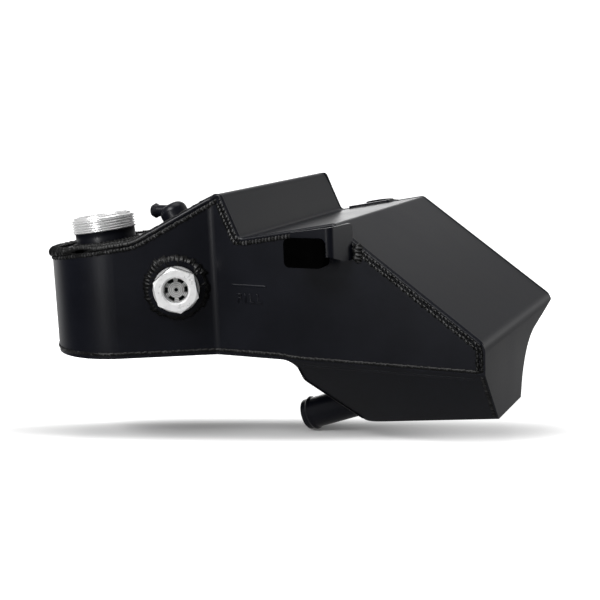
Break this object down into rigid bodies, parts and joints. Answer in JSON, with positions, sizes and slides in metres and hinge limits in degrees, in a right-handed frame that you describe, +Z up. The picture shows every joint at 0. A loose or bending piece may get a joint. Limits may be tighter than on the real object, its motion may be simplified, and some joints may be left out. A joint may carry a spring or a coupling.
{
  "type": "coolant degas bottle",
  "caption": "Welded folded-sheet coolant expansion tank with an open threaded filler neck, round sight glass, vent nipple, sump with a beaded outlet, front arm and rear ear.",
  "frame": {"origin": "centre of the bolt hole in the rear ear's sleeve", "axes": "+X along the front wall away from the filler neck, +Y from the front to the back, +Z up as fitted"},
  "size_m": [0.3338, 0.2503, 0.1836],
  "materials": {
    "black_coat": "satin black powder coat",
    "bare_aluminium": "machined",
    "bright_nut": "bright turned",
    "grey_reflector": "satin",
    "clear_glass": "polished",
    "black_rubber": "matt",
    "steel": "zinc plated"
  },
  "bodies": {
    "root": {"top_sheet": "black_coat", "front_wall": "black_coat", "rear_wall": "black_coat", "bottom_pan": "black_coat", "baffle": "bare_aluminium", "filler_neck": "bare_aluminium", "sight_bung": "black_coat", "sight_body": "bright_nut", "sight_seal": "black_rubber", "sight_gasket": "black_rubber", "sight_lens": "clear_glass", "sight_reflector": "grey_reflector", "sight_retainer": "bright_nut", "vent_nipple": "black_coat", "outlet_tube": "black_coat", "front_arm": "black_coat", "arm_boot": "black_rubber", "rear_ear": "black_coat", "ear_grommet": "black_rubber", "ear_sleeve": "steel"}
  },
  "joints": []
}
